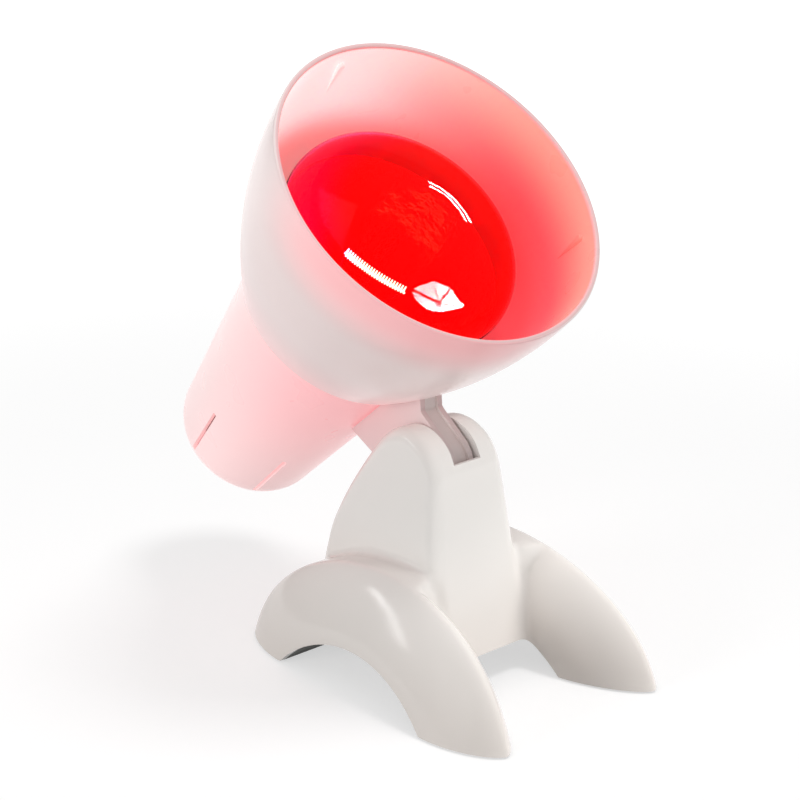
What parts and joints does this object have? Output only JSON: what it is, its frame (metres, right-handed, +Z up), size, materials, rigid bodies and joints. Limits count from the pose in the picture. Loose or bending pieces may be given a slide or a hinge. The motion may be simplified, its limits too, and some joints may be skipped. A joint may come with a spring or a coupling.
{
  "type": "infrared heat therapy lamp",
  "caption": "Table infrared heat lamp: a red reflector bulb in a bell shade with a vented rear housing, tilting in the slotted tower of a two-arch plastic stand.",
  "frame": {"origin": "middle of the underside of the bounding box, on the surface that the foot pads rest on", "axes": "+Z up, -Y the way the lamp faces, +X along the tilt bolt"},
  "size_m": [0.1322, 0.2194, 0.2296],
  "materials": {
    "stand_plastic": "glossy white",
    "shade_plastic": "glossy off-white, thin enough to glow pink",
    "housing_plastic": "glossy off-white, glowing pink from the lit bulb",
    "red_glass": "red-stained glass, smooth",
    "clear_glass": "clear",
    "black_glass": "black vitrified insulator",
    "porcelain": "glazed white porcelain",
    "steel": "zinc plated",
    "brass": "bright",
    "tungsten": "glowing filament",
    "rubber": "matt grey",
    "nylon": "satin white",
    "fibre": "matt brown hard fibre",
    "silicone": "matt red"
  },
  "bodies": {
    "stand": {"stand_shell": "stand_plastic", "bottom_cover": "stand_plastic", "cover_screw_front_left": "steel", "cover_screw_front_right": "steel", "cover_screw_rear_left": "steel", "cover_screw_rear_right": "steel", "foot_pad_front_left": "rubber", "foot_pad_front_right": "rubber", "foot_pad_rear_left": "rubber", "foot_pad_rear_right": "rubber", "pivot_bolt": "steel", "pivot_nut": "steel", "washer_left": "steel", "washer_right": "steel", "spring_washer": "steel", "friction_washer_left": "fibre", "friction_washer_right": "fibre"},
    "head": {"shade": "shade_plastic", "rear_housing": "housing_plastic", "shade_screw_1": "steel", "shade_screw_2": "steel", "shade_screw_3": "steel", "lampholder_body": "porcelain", "lampholder_sleeve": "brass", "lampholder_contact": "brass", "lampholder_strap": "steel", "strap_screw_left": "steel", "strap_screw_right": "steel", "lampholder_screw_left": "steel", "lampholder_screw_right": "steel", "terminal_block": "nylon", "terminal_screw": "steel", "lead_live": "silicone", "lead_neutral": "silicone", "cord_gland": "nylon", "gland_nut": "nylon"},
    "bulb": {"bulb_glass": "red_glass", "bulb_cap": "brass", "cap_insulator": "black_glass", "cap_contact": "brass", "glass_stem": "clear_glass", "filament": "tungsten", "filament_wire_left": "steel", "filament_wire_right": "steel", "filament_support": "steel"}
  },
  "joints": [
    {"name": "head_tilt", "type": "hinge", "parent": "stand", "child": "head", "pos_m": [0, -0.03107, 0.0786], "axis": [1, 0, 0], "range_deg": [-10, 50]},
    {"name": "bulb_slide", "type": "slide", "parent": "head", "child": "bulb", "axis": [0, -0.6934, 0.7206], "range_m": [0, 0.16]}
  ]
}
